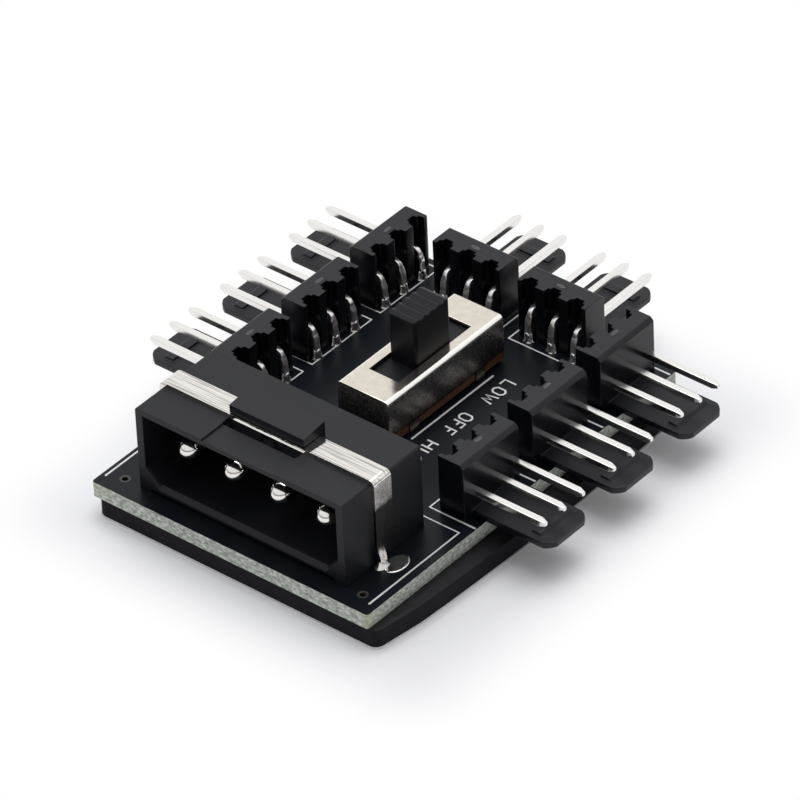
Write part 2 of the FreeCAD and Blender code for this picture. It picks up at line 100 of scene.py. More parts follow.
class Finish:
    """A procedural material on the piece's own coordinates, or a world."""

    def __init__(self, name, kind=bpy.data.materials):
        self.material = kind.new(name)
        self.material.use_nodes = True
        self.nodes = self.material.node_tree.nodes
        self.place = self.node("ShaderNodeTexCoord", output="Object")

    def node(self, kind, settings={}, inputs={}, output=0):
        """Adds a node, sets it up, then fills or links its sockets."""
        node = self.nodes.new(kind)
        for name, value in settings.items():
            if name == "stops":
                ramp = node.color_ramp
                while len(ramp.elements) < len(value):
                    ramp.elements.new(1)
                for element, (position, colour) in zip(ramp.elements, value):
                    element.position = position
                    element.color = colour
            else:
                setattr(node, name, value)
        for name, value in inputs.items():
            plug(node.inputs[name], value)
        return Value(node.outputs[output])

    def noise(self, size, detail=2, stretch=(1, 1, 1)):
        """Soft noise from 0 to 1 with grains of a size in metres, longer where stretch is small."""
        place = self.node("ShaderNodeMapping", inputs={"Vector": self.place, "Scale": stretch})
        return self.node("ShaderNodeTexNoise", inputs={"Vector": place, "Scale": 1 / size, "Detail": detail})

    def ramp(self, value, *stops):
        """A colour read from stops, each a place from 0 to 1 and its colour."""
        return self.node("ShaderNodeValToRGB", {"stops": stops}, {0: value})

    def mix(self, share, first, second):
        """The first colour where share is 0 and the second where it is 1."""
        return self.node("ShaderNodeMix", {"data_type": "RGBA"}, {0: share, 6: first, 7: second}, 2)

    def bump(self, height, depth):
        """A normal that follows a pattern's height from 0 to 1 as relief of a depth in metres."""
        inputs = {"Height": height, "Distance": depth, "Strength": 1}
        return self.node("ShaderNodeBump", inputs=inputs, output="Normal")

    def rise(self, value, start, end, low=0, high=1):
        """Goes smoothly from low to high while a value goes from start to end."""
        inputs = {"Value": value, 1: start, 2: end, 3: low, 4: high}
        return self.node("ShaderNodeMapRange", {"interpolation_type": "SMOOTHSTEP"}, inputs)

    def slope(self, value, start, end, low=0, high=1):
        """Goes evenly from low to high while a value goes from start to end."""
        return self.node("ShaderNodeMapRange", {}, {"Value": value, 1: start, 2: end, 3: low, 4: high})

    def along(self, axis):
        """The surface's own coordinate on an axis, in metres."""
        return self.node("ShaderNodeSeparateXYZ", inputs={0: self.place}, output=axis.upper())

    def near(self, axis, start, end):
        """Rises from 0 to 1 between two distances from the part's middle along an axis."""
        return self.rise(abs(self.along(axis)), start, end)

    def facing_up(self):
        """The surface's own Z direction: 1 on a top, 0 on a wall and -1 on an underside."""
        normal = self.node("ShaderNodeTexCoord", output="Normal")
        return self.node("ShaderNodeSeparateXYZ", inputs={0: normal}, output="Z")

    def wears(self, inputs):
        """Sets or links the sockets of the shader itself."""
        for name, value in inputs.items():
            plug(self.nodes["Principled BSDF"].inputs[name], value)


def grey(level, warmth=0.0):
    """A near-neutral colour; warmth above 0 leans to yellow and below 0 to blue."""
    return (level * (1 + warmth), level, level * (1 - warmth), 1)


def dress(node, finish):
    """Gives a piece of the frame its finish."""
    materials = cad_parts[node].data.materials
    materials.clear()
    materials.append(finish.material)


liner_paper = Finish("liner_paper")
liner_fibre = liner_paper.noise(0.25 * mm, 4)
liner_paper.wears({
    "Base Color": liner_paper.mix(liner_fibre, grey(0.90), grey(0.98)),
    "Roughness": 0.35 + 0.2 * liner_fibre,
    "Normal": liner_paper.bump(liner_fibre, 0.02 * mm),
})
dress("release_liner", liner_paper)


# Foam pad
# Black closed-cell foam with adhesive on both faces, knife-cut on a slant so that it stands
# out past the board's right edge. The adhesive's film makes its top face shine there.

foam = Finish("black_foam")
foam_cell = foam.noise(0.12 * mm, 3)
foam_patch = foam.noise(1.6 * mm, 2)
foam_streak = foam.noise(0.45 * mm, 3, (1, 0.12, 1))
foam_film = foam.facing_up() > 0.5
foam.wears({
    "Base Color": foam.mix(foam_cell * foam_patch, (0.005, 0.0045, 0.006, 1), (0.026, 0.023, 0.029, 1)),
    "Roughness": 0.85 - foam_film * (0.75 * foam_streak),
    "Normal": foam.bump(foam_cell + foam_streak * foam_film * 2, 0.03 * mm),
    "Specular IOR Level": 0.2,
})
dress("foam_pad", foam)


# Circuit board
# Glass-fibre laminate under a glossy black solder mask. The sawn edges show the bare laminate,
# pale and streaked along its layers of cloth.

board = Finish("circuit_board")
mask_ripple = board.noise(2.2 * mm, 2)
mask_grain = board.noise(0.1 * mm, 2)
board_wall = board.facing_up()
board_wall = (board_wall * board_wall) < 0.5
cloth_layers = board.noise(0.24 * mm, 3, (0.6, 0.6, 1.2))
cloth_specks = board.noise(0.13 * mm, 2, (0.8, 0.8, 1))
bare_resin = board.near("x", 13.9 * mm, 15.2 * mm) * board.near("y", 19.6 * mm, 20.9 * mm)
laminate = board.ramp(
    cloth_layers,
    (0.34, (0.36, 0.39, 0.34, 1)),
    (0.5, (0.58, 0.62, 0.55, 1)),
    (0.66, (0.84, 0.88, 0.82, 1)),
)
laminate = board.mix((cloth_specks > 0.66) * 0.7, laminate, (0.09, 0.10, 0.08, 1))
laminate = board.mix(bare_resin * 0.5, laminate, (0.56, 0.60, 0.36, 1))
board.wears({
    "Base Color": board.mix(board_wall, (0.0055, 0.0075, 0.0115, 1), laminate),
    "Roughness": 0.27 + 0.1 * mask_ripple + 0.35 * board_wall,
    "Specular IOR Level": 0.15,
    "Normal": board.bump(mask_ripple * 2 + mask_grain * 0.15 + cloth_layers * board_wall * 4, 0.012 * mm),
})
dress("circuit_board", board)
board_low, board_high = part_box("circuit_board")
board_top, board_bottom = board_high.z / mm, board_low.z / mm


# Silkscreen
# White ink, about 0.02 mm thick, screen-printed on the mask: an outline round every connector,
# a line along the switch and the three words for its positions.


def select_only(piece):
    """Makes a piece the one that the next operator acts on."""
    bpy.ops.object.select_all(action="DESELECT")
    piece.select_set(True)
    bpy.context.view_layer.objects.active = piece


def stroke(curve, points, height):
    """Adds a line through (x, y) points, in millimetres, to a curve."""
    spline = curve.splines.new("POLY")
    spline.points.add(len(points) - 1)
    for point, (x, y) in zip(spline.points, points):
        point.co = (x * mm, y * mm, height * mm, 1)


ink_width = 0.22
ink_thickness = 0.02
ink_lines = bpy.data.curves.new("silkscreen_lines", "CURVE")
ink_lines.dimensions = "3D"
ink_lines.bevel_depth = ink_width / 2 * mm
ink_lines.bevel_resolution = 1
ink_lines.use_fill_caps = True

board_edge = board_high.x / mm
board_back = board_high.y / mm
outline_half = 4.04
outline_gap = 0.1
# For each side of the board: how far an outline reaches in, and how far it is off the middle
outline_places = {"left": (4.55, 0.35), "right": (5.1, -0.25), "back": (5.0, -0.07)}
socket_line_left, socket_line_right = -14.8, 14.38
socket_line_front, socket_line_back = -19.75, -7.8
switch_line_x = 2.95
switch_line_front, switch_line_back = -0.2, 11.0

seats = {}
for side, turn in (("left", 90), ("right", -90), ("back", 0)):
    for number in (1, 2, 3):
        node = f"fan_header_{side}_{number}"
        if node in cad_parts:
            low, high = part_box(node)
            middle = (low + high) / 2 / mm
            spot = (math.copysign(board_edge, middle.x), middle.y)
            if side == "back":
                spot = (middle.x, board_back)
            seats[f"{side}_{number}"] = (math.radians(turn), Vector((*spot, board_top)))


def beside(seat, x, y):
    """The board's (x, y) of a point given along and out from a header's seat."""
    turn, spot = seat
    place = Matrix.Rotation(turn, 3, "Z") @ Vector((x, y, 0)) + spot
    return place.x, place.y


for name, seat in seats.items():
    inset, shift = outline_places[name.split("_")[0]]
    start, end = shift - outline_half, shift + outline_half
    corners = [(start, -outline_gap), (start, -inset), (end, -inset), (end, -outline_gap)]
    stroke(ink_lines, [beside(seat, *corner) for corner in corners], board_top)

stroke(ink_lines, [
    (socket_line_left, socket_line_front),
    (socket_line_left, socket_line_back),
    (socket_line_right, socket_line_back),
    (socket_line_right, socket_line_front),
], board_top)
stroke(ink_lines, [(switch_line_x, switch_line_front), (switch_line_x, switch_line_back)], board_top)

# The strokes of each letter, across and up, in letter heights
letters = {
    "L": [[(0, 1), (0, 0), (0.62, 0)]],
    "O": [[
        (0.2, 0), (0, 0.2), (0, 0.8), (0.2, 1), (0.45, 1),
        (0.65, 0.8), (0.65, 0.2), (0.45, 0), (0.2, 0),
    ]],
    "W": [[(0, 1), (0.2, 0), (0.43, 0.7), (0.66, 0), (0.86, 1)]],
    "F": [[(0.55, 1), (0, 1), (0, 0)], [(0, 0.52), (0.4, 0.52)]],
    "H": [[(0, 1), (0, 0)], [(0.68, 1), (0.68, 0)], [(0, 0.5), (0.68, 0.5)]],
    "I": [[(0.1, 1), (0.1, 0)]],
    "G": [[
        (0.72, 0.8), (0.5, 1), (0.22, 1), (0, 0.75), (0, 0.25),
        (0.22, 0), (0.5, 0), (0.72, 0.25), (0.72, 0.48), (0.4, 0.48),
    ]],
}
letter_height = 1.23
letter_foot = 4.13
letter_step = 0.98
narrow_steps = {"I": 0.8}
# Where each word starts; it runs from there towards the power socket
word_places = {"LOW": 11.15, "OFF": 5.37, "HIGH": 0.55}
for word, y in word_places.items():
    for letter in word:
        for line in letters[letter]:
            points = [(letter_foot + v * letter_height, y - u * letter_height) for u, v in line]
            stroke(ink_lines, points, board_top)
        y -= letter_height * narrow_steps.get(letter, letter_step)

silkscreen = bpy.data.objects.new("silkscreen", ink_lines)
bpy.context.collection.objects.link(silkscreen)
select_only(silkscreen)
bpy.ops.object.convert(target="MESH")
silkscreen = bpy.context.object
silkscreen.name = "silkscreen"
bpy.ops.object.mode_set(mode="EDIT")
bpy.ops.mesh.select_all(action="SELECT")
flattening = 2 * ink_thickness / ink_width
bpy.ops.transform.resize(value=(1, 1, flattening), center_override=(0, 0, board_top * mm))
bpy.ops.object.mode_set(mode="OBJECT")

ink = Finish("white_ink")
ink_wear = ink.noise(0.3 * mm, 3)
ink.wears({"Base Color": ink.mix(ink_wear, grey(0.72), grey(0.90)), "Roughness": 0.5 + 0.2 * ink_wear})


def fit(piece, body, finish):
    """Gives a finished piece its finish and its body."""
    piece.data.materials.clear()
    piece.data.materials.append(finish.material)
    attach(piece, body)


fit(silkscreen, "hub", ink)


# Solder and pads
# Tinned copper rings and the solder that wets each leg where it enters the board. Below the
# board the same joints are plain cones, hidden in the foam.

solder = Finish("solder")
solder_skin = solder.noise(0.35 * mm, 3)
solder.wears({
    "Base Color": solder.mix(solder_skin, grey(0.55, 0.01), grey(0.78, 0.01)),
    "Metallic": 1,
    "Roughness": 0.08 + 0.16 * solder_skin,
    "Normal": solder.bump(solder_skin, 0.03 * mm),
})
dress("solder_joints", solder)


def turned(name, place, rings, stretch=(1, 1), sides=24):
    """A filled circle extruded up through rings, each a height and a radius, and stretched."""
    bpy.ops.object.select_all(action="DESELECT")
    centre = Vector(place) * mm
    height, radius = rings[0]
    bpy.ops.mesh.primitive_circle_add(vertices=sides, radius=radius * mm, fill_type="NGON", location=centre)
    form = bpy.context.object
    form.name = name
    bpy.ops.object.mode_set(mode="EDIT")
    bpy.ops.mesh.select_all(action="SELECT")
    for next_height, next_radius in rings[1:]:
        rise = (0, 0, (next_height - height) * mm)
        bpy.ops.mesh.extrude_region_move(TRANSFORM_OT_translate={"value": rise})
        scale = next_radius / radius
        bpy.ops.transform.resize(value=(scale, scale, 1), center_override=centre)
        height, radius = next_height, next_radius
    bpy.ops.mesh.select_all(action="SELECT")
    bpy.ops.mesh.normals_make_consistent()
    bpy.ops.transform.resize(value=(*stretch, 1), center_override=centre)
    bpy.ops.object.mode_set(mode="OBJECT")
    bpy.ops.object.transform_apply()
    bpy.ops.object.shade_smooth_by_angle(angle=math.radians(50))
    return form


def join(name, pieces):
    """Makes one object of several."""
    bpy.ops.object.select_all(action="DESELECT")
    for piece in pieces:
        piece.select_set(True)
    bpy.context.view_layer.objects.active = pieces[0]
    bpy.ops.object.join()
    pieces[0].name = name
    return pieces[0]


pin_pitch = 2.54
pin_leg_inset = 4.26
leg_foot_inset = 4.05
leg_rings = [(0, 0.6), (0.06, 0.56), (0.2, 0.5), (0.45, 0.465), (0.75, 0.44), (0.9, 0.3)]
mounds = []
for name, seat in seats.items():
    for place in (-pin_pitch, 0, pin_pitch):
        x, y = beside(seat, place, -leg_foot_inset)
        mounds.append(turned("leg_solder", (x, y, board_top), leg_rings))

prong_x, prong_y = 11.95, -15.0
pad_x, pad_y = 12.8, -14.15
pad_rings = [(0, 0.93), (0.03, 0.92), (0.055, 0.86), (0.06, 0.75)]
prong_rings = [(0.05, 0.55), (0.12, 0.5), (0.3, 0.36), (0.6, 0.26)]
for side in (-1, 1):
    mounds.append(turned("prong_pad", (side * pad_x, pad_y, board_top), pad_rings, (1, 1.5), 40))
    mounds.append(turned("prong_solder", (side * prong_x, prong_y, board_top), prong_rings, (1.1, 1.6)))
top_solder = join("top_solder", mounds)
fit(top_solder, "hub", solder)

via_x, via_y = 13.15, -19.05
via_rings = []
via_section = [(0.02, 0.49), (0.02, 0.37), (0, 0.29), (-1.5, 0.29), (-1.5, 0.34), (-0.01, 0.34), (0, 0.5)]
for side in (-1, 1):
    bpy.ops.object.select_all(action="DESELECT")
    spot = Vector((side * via_x, via_y, board_top)) * mm
    height, radius = via_section[-1]
    bpy.ops.mesh.primitive_circle_add(vertices=32, radius=radius * mm, location=spot)
    bpy.ops.object.mode_set(mode="EDIT")
    bpy.ops.mesh.select_all(action="SELECT")
    for next_height, next_radius in via_section:
        rise = (0, 0, (next_height - height) * mm)
        bpy.ops.mesh.extrude_region_move(TRANSFORM_OT_translate={"value": rise})
        scale = next_radius / radius
        bpy.ops.transform.resize(value=(scale, scale, 1), center_override=spot)
        height, radius = next_height, next_radius
    bpy.ops.mesh.select_all(action="SELECT")
    bpy.ops.mesh.remove_doubles(threshold=0.001 * mm)
    bpy.ops.mesh.normals_make_consistent()
    bpy.ops.object.mode_set(mode="OBJECT")
    bpy.ops.object.transform_apply()
    bpy.ops.object.shade_smooth_by_angle(angle=math.radians(40))
    via_rings.append(bpy.context.object)
via_ring = join("via_rings", via_rings)
ring_finish = Finish("tinned_copper_ring")
ring_dull = ring_finish.noise(0.2 * mm, 2)
ring_finish.wears({
    "Base Color": ring_finish.mix(ring_dull, grey(0.02), grey(0.09, 0.06)),
    "Metallic": 0.6,
    "Roughness": 0.4 + 0.25 * ring_dull,
})
fit(via_ring, "hub", ring_finish)


# Fan header housings
# Eight alike, moulded in black nylon: a block pressed on three pins, with a stepped channel
# behind each pin and a friction tab that reaches out under them. The gate leaves an oval mark.


def new_box(name, low, high):
    """Adds a box between two corners, given in millimetres."""
    bpy.ops.object.select_all(action="DESELECT")
    low, high = Vector(low) * mm, Vector(high) * mm
    bpy.ops.mesh.primitive_cube_add(size=1, location=(low + high) / 2, scale=high - low)
    bpy.ops.object.transform_apply()
    piece = bpy.context.object
    piece.name = name
    return piece


# How near to a place, in millimetres, an edge counts as being at it
slack = 0.01


def pick(piece, kind, test):
    """In edit mode, selects what passes a test of its middle, in millimetres, and its direction."""
    select_only(piece)
    bpy.ops.object.mode_set(mode="EDIT")
    bpy.ops.mesh.select_mode(type=kind)
    bpy.ops.mesh.select_all(action="DESELECT")
    mesh = bmesh.from_edit_mesh(piece.data)
    if kind == "VERT":
        for vertex in mesh.verts:
            vertex.select_set(bool(test(vertex.co / mm, vertex.normal)))
    elif kind == "FACE":
        for face in mesh.faces:
            face.select_set(bool(test(face.calc_center_median() / mm, face.normal)))
    else:
        for edge in mesh.edges:
            start, end = (vertex.co for vertex in edge.verts)
            edge.select_set(bool(test((start + end) / 2 / mm, (end - start).normalized())))
    bmesh.update_edit_mesh(piece.data)


def done():
    """Leaves edit mode, which pick enters."""
    bpy.ops.object.mode_set(mode="OBJECT")


def combine(piece, other, operation):
    """Cuts other from piece, or joins it on, and removes other."""
    select_only(piece)
    change = piece.modifiers.new("combine", "BOOLEAN")
    change.operation = operation
    change.object = other
    change.solver = "EXACT"
    change.use_self = True
    bpy.ops.object.modifier_apply(modifier=change.name)
    bpy.data.objects.remove(other)


def round_edges(piece, radius, segments=2, sharper_than=30):
    """Rounds every edge of a moulded, stamped or cut piece, and smooths its shading."""
    select_only(piece)
    bpy.ops.object.mode_set(mode="EDIT")
    bpy.ops.mesh.select_all(action="SELECT")
    bpy.ops.mesh.remove_doubles(threshold=0.001 * mm)
    bpy.ops.mesh.dissolve_limited(angle_limit=math.radians(0.5))
    bpy.ops.object.mode_set(mode="OBJECT")
    bevel = piece.modifiers.new("rounded", "BEVEL")
    bevel.width = radius * mm
    bevel.segments = segments
    bevel.limit_method = "ANGLE"
    bevel.angle_limit = math.radians(sharper_than)
    bpy.ops.object.modifier_apply(modifier=bevel.name)
    bpy.ops.object.shade_smooth_by_angle(angle=math.radians(40))
    flats = piece.modifiers.new("flats", "WEIGHTED_NORMAL")
    flats.keep_sharp = True
    bpy.ops.object.modifier_apply(modifier=flats.name)


header_half = 3.75
header_height = 6.0
header_outer = -1.3
header_inner = -4.05
header_chamfer = 0.35
# The half width and the depth of each step of a channel
channel_steps = ((0.75, 0.6), (0.45, 1.0))
tab_half = 2.75
tab_bottom = 0.2
tab_top = 0.85
tab_reach = 7.15
tab_corner = 0.9
ramp_half = 2.1
ramp_inner, ramp_outer = tab_reach - 2.5, tab_reach - 0.9
ramp_rise = 0.25
ramp_slope = 1.05
gate_radius = 0.5
gate_narrowing = 0.42
gate_thickness = 0.06
gate_y = -2.62

header = new_box("header", (-header_half, header_inner, 0), (header_half, header_outer, header_height))
pick(header, "EDGE", lambda middle, along: middle.z > header_height - slack
     and middle.y > header_outer - slack)
bpy.ops.mesh.bevel(offset=header_chamfer * mm, segments=1, affect="EDGES")
done()
channels = []
for place in (-pin_pitch, 0, pin_pitch):
    for half, depth in channel_steps:
        low = (place - half, header_inner - 1, -1)
        high = (place + half, header_inner + depth, header_height + 1)
        channels.append(new_box("channel", low, high))
combine(header, join("channels", channels), "DIFFERENCE")

tab = new_box("tab", (-tab_half, header_outer - 0.5, tab_bottom), (tab_half, tab_reach, tab_top))
pick(tab, "EDGE", lambda middle, along: abs(along.z) > 0.9 and middle.y > tab_reach - slack)
bpy.ops.mesh.bevel(offset=tab_corner * mm, segments=3, profile=0.35, affect="EDGES")
done()
ramp = new_box("ramp", (-ramp_half, ramp_inner, tab_top - 0.3), (ramp_half, ramp_outer, tab_top + ramp_rise))
pick(ramp, "EDGE", lambda middle, along: abs(along.x) > 0.9
     and middle.z > tab_top and middle.y > ramp_outer - 0.1)
bpy.ops.mesh.bevel(offset=ramp_slope * mm, offset_type="WIDTH", segments=1, affect="EDGES")
done()
combine(tab, ramp, "UNION")
combine(header, tab, "UNION")
round_edges(header, 0.1)

bpy.ops.object.select_all(action="DESELECT")
gate_place = Vector((0, gate_y, header_height)) * mm
bpy.ops.mesh.primitive_cylinder_add(
    vertices=32, radius=gate_radius * mm, depth=gate_thickness * mm, location=gate_place)
gate = bpy.context.object
bpy.ops.transform.resize(value=(1, gate_narrowing, 1), center_override=gate_place)
bpy.ops.object.transform_apply()
round_edges(gate, 0.025)

nylon = Finish("header_nylon")
nylon_grain = nylon.noise(0.09 * mm, 2)
nylon_cloud = nylon.noise(2.5 * mm, 3)
nylon_top = nylon.facing_up()
nylon_top = nylon_top * nylon_top
nylon.wears({
    "Base Color": nylon.mix(nylon_cloud, (0.004, 0.0046, 0.0075, 1), (0.0075, 0.0082, 0.012, 1)),
    "Roughness": 0.2 + 0.22 * nylon_top + 0.08 * nylon_cloud,
    "Specular IOR Level": 0.3,
    "Normal": nylon.bump(nylon_grain, 0.006 * mm),
})
gate_skin = Finish("gate_mark")
gate_scuff = gate_skin.noise(0.15 * mm, 2)
gate_skin.wears({
    "Base Color": gate_skin.mix(gate_scuff, grey(0.02), grey(0.06)),
    "Roughness": 0.25 + 0.2 * gate_scuff,
})


def copy_to(piece, name, seat):
    """A copy of a piece, with its own mesh, turned and moved to a header's seat."""
    turn, spot = seat
    twin = piece.copy()
    twin.data = piece.data.copy()
    twin.name = name
    bpy.context.collection.objects.link(twin)
    twin.data.transform(Matrix.Translation(spot * mm) @ Matrix.Rotation(turn, 4, "Z"))
    return twin


for name, seat in seats.items():
    housing = copy_to(header, "header_housing_" + name, seat)
    fit(housing, "hub", nylon)
    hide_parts("fan_header_" + name)
    mark = copy_to(gate, "gate_mark_" + name, seat)
    fit(mark, "hub", gate_skin)
bpy.data.objects.remove(header)
bpy.data.objects.remove(gate)


# Fan pins
# Square wire, 0.64 mm across, drawn in brass and tinned bright, with a coined tip. Each is
# bent down behind its housing and soldered into the board.

pin_side = 0.64
pin_height = 2.85
pin_reach = 6.65
pin_tip_side = 0.34
pin_tip_length = 0.6
pin_bend = 0.12
pin_tail = -2.4
leg_start = -3.76
bend_narrowing = 0.68
bend_start, bend_end = -3.4, 2.6


def bent_pin(name, side, tip_side, tip_length, reach, height, leg, bend, path, away):
    """Square wire drawn from its tip along Y, spun through its bend and drawn down through (y, z)
    points. Away is 1 where the tip points to the back and -1 where it points to the front."""
    bpy.ops.object.select_all(action="DESELECT")
    bpy.ops.mesh.primitive_plane_add(size=tip_side * mm, location=(0, reach * mm, height * mm))
    pin = bpy.context.object
    pin.name = name
    bpy.ops.object.mode_set(mode="EDIT")
    bpy.ops.mesh.select_all(action="SELECT")
    middle = Vector((0, reach, height)) * mm
    bpy.ops.transform.rotate(value=math.radians(90), orient_axis="X", center_override=middle)
    bpy.ops.mesh.extrude_region_move(TRANSFORM_OT_translate={"value": (0, -away * tip_length * mm, 0)})
    middle.y -= away * tip_length * mm
    bpy.ops.transform.resize(value=(side / tip_side, 1, side / tip_side), center_override=middle)
    turn = leg + away * (side / 2 + bend)
    bpy.ops.mesh.extrude_region_move(TRANSFORM_OT_translate={"value": (0, turn * mm - middle.y, 0)})
    pivot = Vector((0, turn, height - side / 2 - bend))
    bpy.ops.mesh.spin(steps=6, angle=-math.radians(90) * away, center=pivot * mm, axis=(1, 0, 0))
    y, z = leg, pivot.z
    for next_y, next_z in path:
        step = (0, (next_y - y) * mm, (next_z - z) * mm)
        bpy.ops.mesh.extrude_region_move(TRANSFORM_OT_translate={"value": step})
        y, z = next_y, next_z
    bpy.ops.mesh.select_all(action="SELECT")
    bpy.ops.mesh.remove_doubles(threshold=0.001 * mm)
    bpy.ops.mesh.normals_make_consistent()
    bpy.ops.object.mode_set(mode="OBJECT")
    bpy.ops.object.transform_apply()
    return pin


leg_path = [
    (-3.80, 2.3), (-3.93, 2.0), (-3.98, 1.65), (-3.96, 1.35), (-4.04, 1.0), (-4.06, 0.7), (-4.04, 0.45),
    (-leg_foot_inset, 0), (-pin_leg_inset, -1.4), (-pin_leg_inset, pin_tail),
]
fan_pin = bent_pin(
    "fan_pin", pin_side, pin_tip_side, pin_tip_length, pin_reach, pin_height, leg_start, pin_bend,
    leg_path, 1)
pick(fan_pin, "VERT", lambda place, normal: place.y < bend_start and place.z > bend_end)
bpy.ops.transform.resize(value=(bend_narrowing, 1, 1), center_override=(0, 0, 0))
done()
round_edges(fan_pin, 0.07, 3, 50)

tin = Finish("bright_tin")
tin_streak = tin.noise(0.16 * mm, 3)
tin_dent = tin.noise(0.5 * mm, 1, (0.35, 0.35, 1))
tin_leg = (1 - tin.near("x", 11.9 * mm, 12.4 * mm)) * (1 - tin.near("y", 17.7 * mm, 18.2 * mm))
tin.wears({
    "Base Color": tin.mix(tin_streak, grey(0.74, 0.01), grey(0.92, 0.02)),
    "Metallic": 1,
    "Roughness": 0.11 + 0.12 * tin_streak + 0.2 * tin_leg,
    "Normal": tin.bump(tin_streak * 0.004 + tin_dent * tin_leg, 0.1 * mm),
})
power_tin = Finish("power_pin_tin")
power_streak = power_tin.noise(0.2 * mm, 3)
power_tin.wears({
    "Base Color": power_tin.mix(power_streak, grey(0.70, 0.02), grey(0.86, 0.03)),
    "Metallic": 1,
    "Roughness": 0.08 + 0.08 * power_streak,
    "Normal": power_tin.bump(power_streak, 0.002 * mm),
})
for name, seat in seats.items():
    turn, spot = seat
    for place, function in ((-pin_pitch, "ground"), (0, "supply"), (pin_pitch, "sense")):
        shift = Matrix.Rotation(turn, 3, "Z") @ Vector((place, 0, 0))
        pin = copy_to(fan_pin, f"pin_{name}_{function}", (turn, spot + shift))
        fit(pin, "hub", tin)
        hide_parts(f"fan_pin_{name}_{function}")
bpy.data.objects.remove(fan_pin)


# Power socket housing
# One moulding in black nylon: a hooded mouth with two cut lower corners that key the plug, a
# thick web that holds the pins, and a nose on its roof that hooks over the steel strap.

socket_half = 11.4
socket_front = -19.1
socket_back = -8.8
socket_top = board_top + 8.5
mouth_half = 10.6
mouth_floor = board_top + 1.0
mouth_top = socket_top - 0.6
mouth_back = -12.4
mouth_corner = 1.4
lip_chamfer = 0.4
foot_width = 1.3
foot_height = 0.3
web_back = -11.0
strap_thickness = 0.4
strap_front = -15.4
strap_back = -13.2
strap_top = socket_top + strap_thickness
window_front = strap_front - 0.8
window_back = strap_back + 0.05
relief_half = 4
relief_depth = 0.2
hook_half = 4.1
hook_front = strap_front + 0.15
hook_back = strap_back + 0.75
hook_bottom, hook_top = strap_top + 0.05, strap_top + 1.15
hook_slope = 0.3
tail_channel_half = 1.1
tail_channel_top = board_top + 6.5
roof_round = 0.25
pin_places = (-7.62, -2.54, 2.54, 7.62)

socket = new_box(
    "power_socket", (-socket_half, socket_front, board_top), (socket_half, socket_back, socket_top))
pick(socket, "EDGE", lambda middle, along: abs(along.y) > 0.9 and middle.z > socket_top - slack)
bpy.ops.mesh.bevel(offset=roof_round * mm, segments=3, affect="EDGES")
done()
mouth = new_box("mouth", (-mouth_half, socket_front - 1, mouth_floor), (mouth_half, mouth_back, mouth_top))
pick(mouth, "EDGE", lambda middle, along: abs(along.y) > 0.9 and middle.z < mouth_floor + slack)
bpy.ops.mesh.bevel(offset=mouth_corner * mm, segments=1, affect="EDGES")
done()
for y in (socket_front, socket_front + lip_chamfer):
    pick(mouth, "FACE", lambda middle, facing: True)
    bpy.ops.mesh.bisect(plane_co=(0, y * mm, 0), plane_no=(0, 1, 0))
    done()
pick(mouth, "VERT", lambda place, normal: place.y < socket_front + slack and place.z < mouth_floor + slack)
bpy.ops.transform.translate(value=(0, 0, -lip_chamfer * mm))
done()
clear_front = socket_front - 1
clear_top = socket_top + 1
under_half = socket_half - foot_width
under_top = board_top + foot_height
relief_back = window_front + 0.1
relief_floor = socket_top - relief_depth
hollows = [
    mouth,
    new_box("under", (-under_half, clear_front, board_top - 1), (under_half, web_back, under_top)),
    new_box("relief", (-relief_half, clear_front, relief_floor), (relief_half, relief_back, clear_top)),
    new_box("window", (-hook_half, window_front, mouth_top - 1), (hook_half, window_back, clear_top)),
]
for x in pin_places:
    low = (x - tail_channel_half, web_back, board_top - 1)
    high = (x + tail_channel_half, socket_back + 1, tail_channel_top)
    hollows.append(new_box("channel", low, high))
for hollow in hollows:
    combine(socket, hollow, "DIFFERENCE")

hook = new_box("hook", (-hook_half, hook_front, hook_bottom), (hook_half, hook_back, hook_top))
pick(hook, "EDGE", lambda middle, along: middle.z > hook_top - slack and middle.y < hook_front + slack)
bpy.ops.transform.translate(value=(0, 0, -hook_slope * mm))
done()
root = new_box("root", (-hook_half, window_back, mouth_top), (hook_half, hook_back, strap_top + 0.5))
combine(hook, root, "UNION")
combine(socket, hook, "UNION")
round_edges(socket, 0.07)

socket_nylon = Finish("socket_nylon")
socket_grain = socket_nylon.noise(0.11 * mm, 2)
socket_cloud = socket_nylon.noise(3.5 * mm, 3)
socket_nylon.wears({
    "Base Color": socket_nylon.mix(socket_cloud, (0.006, 0.0066, 0.0095, 1), (0.0105, 0.0112, 0.015, 1)),
    "Roughness": 0.42 + 0.08 * socket_cloud,
    "Specular IOR Level": 0.24,
    "Normal": socket_nylon.bump(socket_grain, 0.008 * mm),
})
fit(socket, "hub", socket_nylon)
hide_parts("power_socket_housing")


# Power pins
# Four round pins, 2.1 mm across, rolled from brass sheet and tinned. Each has a rounded nose
# with the seam in it, a slimmer shank held in the web, and a square tail bent into the board.

power_pin_z = board_top + 4.4
power_nose = -17.7
power_rings = [
    (0, 0.08), (0.034, 0.24), (0.109, 0.42), (0.242, 0.61), (0.443, 0.79), (0.696, 0.93),
    (0.992, 1.02), (1.3, 1.05), (4.98, 1.05), (5.02, 0.8), (6.7, 0.8),
]
seam_left, seam_right = -0.42, -0.31
seam_depth = 0.5
tail_side, tail_tip_side, tail_tip_length = 1.1, 1, 0.2
tail_bend = 0.3
tail_y = socket_back - 1
tail_end = board_bottom - 0.9

